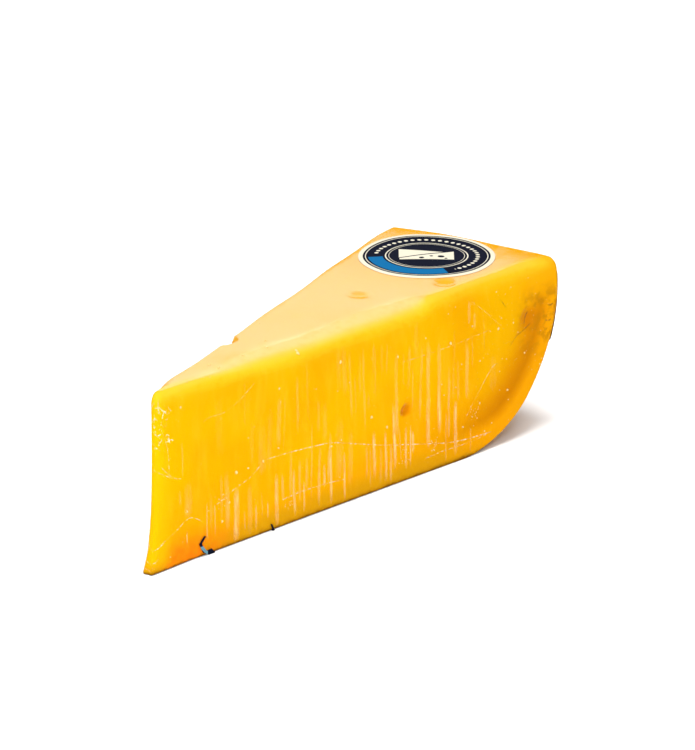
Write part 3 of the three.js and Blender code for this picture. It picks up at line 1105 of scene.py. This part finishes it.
# Dark marks near the rind, as routes with a width: the first is painted shade in the large eye by the rind,
# the rest dark lines along cracks. And the thin fold over the tip, a line of painted shade.
FRONT_MARKS = [
    ([(174.6, 40.8), (173.3, 38.8), (173, 36)], 0.7),
    ([(183.2, 40.6), (184.6, 40.1), (186, 40.7)], 0.8),
    ([(182.3, 36), (183.6, 35.2), (185.2, 35.6)], 0.8),
    ([(161, 48), (163, 46), (164.6, 43.9)], 0.35),
    ([(166, 31), (168.5, 33.6), (172, 34.8), (177, 36.6)], 0.4),
]
TOP_FOLD = [(26, 2.6), (20, 3), (15.5, 2.4), (11.6, 1)]
FOLD_WIDTH = 0.35
MARK_STRENGTH = 0.7
MARK_STEP = 0.5


def make_marks():
    strips = Strips([(across, SMEAR_LIFT) for across in (-1, 0, 1)])
    for route, width in FRONT_MARKS:
        strips.add(on_front, route, width, MARK_STRENGTH, MARK_STEP)
    strips.add(top_spot, TOP_FOLD, FOLD_WIDTH, MARK_STRENGTH, MARK_STEP)
    strips.build("dark_marks", "dark_mark", mark_shader)


# Crystals and fine specks in the paste: distance from the axis, height and radius on the front face
CRYSTALS = [
    (62, 44.4, 0.5), (62, 25.4, 0.55), (43.6, 22.6, 0.75), (48.8, 22.5, 0.5), (22, 16.1, 0.6),
    (19.7, 49.3, 0.6), (37, 8.9, 0.55), (55.4, 23, 0.45), (40.1, 14.1, 0.45), (72, 54, 0.8),
    (89.3, 45.7, 0.7), (114.8, 40.9, 0.45), (103, 24.6, 0.6), (110, 19.6, 0.65), (84.8, 20.1, 0.6),
    (138.3, 39.4, 0.7), (167.8, 38.5, 0.5), (160.8, 38.3, 0.6), (173, 27.4, 0.5), (164.7, 17.5, 0.5),
    (144.5, 10.6, 0.5), (157.4, 8.6, 0.4), (151.8, 16.6, 0.5), (154.2, 6.8, 0.4), (163, 4.2, 0.4),
]
CRYSTAL_SHARE = 0.85
CRYSTAL_SEED = 23

# Crystals on the top, as places from the axis, and clusters on the front: their middle and reach
TOP_CRYSTALS = [(71.2, -11.3), (54, -2), (68.5, -0.5), (64, -3.8), (41.8, -1.6), (41.7, 1.9)]
TOP_RADIUS = 0.6
CLUSTERS = [(66.6, 6.7, 3), (149, 13.5, 3), (118, 8, 4), (132, 8, 3), (38, 16, 3)]
CLUSTER_COUNT = 16
CLUSTER_RADIUS = (0.12, 0.24)
SPECKS = 100
SPECK_SMALL, SPECK_LARGE = 0.09, 0.34
BACK_SPECK_SHARE = 1.4


def disc_faces(rings, around):
    """The faces of a fan and the rings outside it, on points laid ring by ring about the first."""
    faces = [(0, 1 + n, 1 + (n + 1) % around) for n in range(around)]
    for row in range(rings - 1):
        for n in range(around):
            a, b = 1 + row * around + n, 1 + row * around + (n + 1) % around
            faces.append((a, a + around, b + around, b))
    return faces


def blob(rng, radius, rings=4, around=8):
    """A lumpy flattened grain, as points and faces."""
    points = [(0, 0, 1)]
    for row in range(1, rings + 1):
        turn = math.pi * row / (rings + 1)
        for n in range(around):
            spin = 2 * math.pi * n / around
            wide = math.sin(turn) * rng.uniform(0.55, 1.2)
            points.append((wide * math.cos(spin), wide * math.sin(spin), math.cos(turn)))
    last = len(points)
    points.append((0, 0, -1))
    faces = disc_faces(rings, around)
    faces += [(last, last - around + (n + 1) % around, last - around + n) for n in range(around)]
    return np.array(points) * [radius, radius * rng.uniform(0.6, 1), radius * 0.3], faces


class Grains:
    """Lumpy grains on the film, gathered into one mesh."""

    def __init__(self, seed):
        self.rng = random.Random(seed)
        self.points, self.faces = [], []

    def add(self, at, radius):
        spot, normal, _, _ = SKIN.find_nearest(Vector(at))
        shape, faces = blob(self.rng, radius)
        turn = normal.to_track_quat("Z", "Y").to_matrix()
        turn = turn @ Matrix.Rotation(self.rng.uniform(0, 6.28), 3, "Z")
        first = len(self.points)
        foot = np.array(spot + normal * CRYSTAL_LIFT)
        self.points.extend(np.array(turn @ Vector(p)) + foot for p in shape)
        self.faces.extend(tuple(first + n for n in face) for face in faces)

    def speck(self, at, share=1):
        radius = SPECK_SMALL + (SPECK_LARGE - SPECK_SMALL) * self.rng.random() ** 4
        self.add(at, radius * share)


def make_crystals():
    grains = Grains(CRYSTAL_SEED)
    rng = grains.rng
    for rho, z, radius in CRYSTALS:
        grains.add(on_front(rho, z), radius * CRYSTAL_SHARE)
    for x, y in TOP_CRYSTALS:
        grains.add(top_spot(x, y), TOP_RADIUS)
    for rho, z, reach in CLUSTERS:
        for _ in range(CLUSTER_COUNT):
            at = on_front(rng.gauss(rho, reach / 2), rng.gauss(z, reach / 2))
            grains.add(at, rng.uniform(*CLUSTER_RADIUS))
    for _ in range(SPECKS):
        grains.speck(on_front(rng.triangular(120, 184, 176), rng.uniform(20, 52)))
    for _ in range(SPECKS):
        grains.speck(on_front(rng.uniform(14, 170), rng.uniform(3, 50)))
    for _ in range(SPECKS):
        grains.speck(on_back(rng.uniform(16, 180), rng.uniform(3, 52)), BACK_SPECK_SHARE)
    for _ in range(SPECKS // 2):
        x = rng.uniform(20, 180)
        grains.speck(top_spot(x, rng.uniform(-1, 1) * x * HALF_ANGLE))
    piece = add_object("crystals", np.array(grains.points) + SHIFT, grains.faces)
    dress(piece, "crystal", crystal_shader)


# Labels


def disc_outline(radius):
    return lambda angle: radius


def box_outline(half_u, half_v, corner):
    """The reach of a rectangle with round corners at an angle."""

    def reach(angle):
        way = np.abs([math.cos(angle), math.sin(angle)])
        low, high = 0.0, math.hypot(half_u, half_v)
        for _ in range(30):
            middle = (low + high) / 2
            over = np.maximum(way * middle - [half_u - corner, half_v - corner], 0)
            low, high = (middle, high) if np.hypot(*over) < corner else (low, middle)
        return low

    return reach


def make_label(name, node, outline, spot, build, rings=22, around=128):
    """A thin sheet draped on the film, with its print's coordinates u and v from its middle."""
    rows = [(n / rings, LABEL_LIFT) for n in range(1, rings)]
    rows += [(0.99, LABEL_LIFT), (1, LABEL_LIFT * 0.75), (1, 0)]
    points, us, vs = [on_film(spot(0, 0), LABEL_LIFT)], [0.0], [0.0]
    for reach, lift in rows:
        for n in range(around):
            angle = 2 * math.pi * n / around
            far = outline(angle) * reach
            u, v = far * math.cos(angle), far * math.sin(angle)
            points.append(on_film(spot(u, v), lift))
            us.append(u)
            vs.append(v)
    piece = add_object(name, np.array(points) + SHIFT, disc_faces(len(rows), around), u=us, v=vs)
    dress(piece, node, build)
    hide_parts(node)


# The print stands upright for the camera
PRINT_RIGHT = (math.cos(AZIMUTH), math.sin(AZIMUTH))
RIND_LABEL_LOW, RIND_LABEL_HIGH = 27, 52
RIND_LABEL_NEAR, RIND_LABEL_FAR = -29.5, 12
LABEL_ROUND = 3


def top_label_spot(u, v):
    x, y = TOP_LABEL_AT
    right_x, right_y = PRINT_RIGHT
    return np.array([x + u * right_x - v * right_y, y + u * right_y + v * right_x, HEIGHT])


def rind_label_spot(u, v):
    y = (RIND_LABEL_NEAR + RIND_LABEL_FAR) / 2 + u
    z = (RIND_LABEL_LOW + RIND_LABEL_HIGH) / 2 + v
    hit = SKIN.ray_cast(Vector((WHEEL_RADIUS + 20, y, z)), Vector((-1, 0, 0)))[0]
    return np.array(hit) if hit else on_film((WHEEL_RADIUS, y, z))


def make_labels():
    disc = disc_outline(TOP_LABEL_RADIUS)
    make_label("top_sticker", "top_label", disc, top_label_spot, top_label_shader)
    half_wide = (RIND_LABEL_FAR - RIND_LABEL_NEAR) / 2
    half_high = (RIND_LABEL_HIGH - RIND_LABEL_LOW) / 2
    outline = box_outline(half_wide, half_high, LABEL_ROUND)
    make_label("rind_sticker", "rind_label", outline, rind_label_spot, rind_label_shader)
    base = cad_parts["base_label"]
    base.data.materials.clear()
    base.data.materials.append(make_material("base_label", base_label_shader))


# Floor, light and camera

FLOOR_HALF = 3000
FLOOR_DROP = 0.02


def paper_shader(tree):
    """White paper. What it throws back on the cheese is dimmer than what the camera sees."""
    tone = cloud(tree, 40, 2)
    seen = add_node(tree, "ShaderNodeLightPath", "Is Camera Ray", {})
    colour = blend(seen, FLOOR_BOUNCE, blend(tone, *FLOOR_SEEN))
    return principled(tree, colour, 0.8, 0.1)


def make_floor():
    corners = [(x * FLOOR_HALF, y * FLOOR_HALF, 0) for x, y in ((-1, -1), (1, -1), (1, 1), (-1, 1))]
    floor = add_object("floor", corners, [(0, 1, 2, 3)])
    floor.location.z = -FLOOR_DROP * MM
    floor.data.materials.append(make_material("paper_floor", paper_shader))
    return floor


def stand(name, data, at, way):
    """A lamp or camera at a place, which looks a way."""
    made = bpy.data.objects.new(name, data)
    made.location = at * MM
    made.rotation_mode = "QUATERNION"
    made.rotation_quaternion = way.to_track_quat("-Z", "Y")
    bpy.context.scene.collection.objects.link(made)
    return made


def add_lamp(name, at, size, power, aim):
    data = bpy.data.lights.new(name, "AREA")
    data.shape = "RECTANGLE"
    data.size, data.size_y = (side * MM for side in size)
    data.energy = power
    return stand(name, data, Vector(at), Vector(aim) - Vector(at))


def link_to_floor(lamp, floor, state):
    """The lamp lights only the floor (INCLUDE), or everything but the floor (EXCLUDE)."""
    lit = bpy.data.collections.new(lamp.name + "_link")
    lit.objects.link(floor)
    lit.collection_objects[0].light_linking.link_state = state
    lamp.light_linking.receiver_collection = lit


# The lamps: name, place, size, power, what each points at, and how it is linked to the floor
LAMPS = [
    ("key", (-640, -420, 420), (260, 260), 5.0, (-40, 0, 30), None),
    ("overhead", (-60, 60, 1250), (1300, 1300), 10.4, (0, 0, 0), None),
    ("sheen", (830, 540, 380), (760, 420), 2.6, (20, 0, 55), "EXCLUDE"),
    ("floor_wash", (-150, -60, 1230), (560, 560), 21, (0, 0, 0), "INCLUDE"),
]
ROOM_STRENGTH = 0.42


def make_light(floor):
    """A white room that the camera sees at full strength, and the lamps."""
    world = bpy.data.worlds.new("studio")
    world.use_nodes = True
    tree = world.node_tree
    seen = add_node(tree, "ShaderNodeLightPath", "Is Camera Ray", {})
    background = tree.nodes["Background"]
    background.inputs["Color"].default_value = (1, 1, 1, 1)
    feed(tree, background.inputs["Strength"], seen * (1 - ROOM_STRENGTH) + ROOM_STRENGTH)
    bpy.context.scene.world = world
    for name, at, size, power, aim, state in LAMPS:
        lamp = add_lamp(name, at, size, power, aim)
        if state:
            link_to_floor(lamp, floor, state)
    bpy.context.scene.view_settings.view_transform = "Standard"


def make_camera():
    flat = math.cos(ELEVATION)
    back = Vector((math.sin(AZIMUTH) * flat, -math.cos(AZIMUTH) * flat, math.sin(ELEVATION)))
    right = Vector((math.cos(AZIMUTH), math.sin(AZIMUTH), 0))
    up = back.cross(right)
    aim = AIM + right * AIM_RIGHT + up * AIM_UP
    data = bpy.data.cameras.new("camera")
    data.sensor_width = SENSOR
    data.lens = PIXELS_PER_MM * DISTANCE * SENSOR / max(IMAGE_WIDTH, IMAGE_HEIGHT)
    data.clip_start, data.clip_end = 0.1, 20
    bpy.context.scene.camera = stand("camera", data, aim + back * DISTANCE, -back)


make_smears()
make_creases()
make_marks()
make_crystals()
make_labels()
make_light(make_floor())
make_camera()
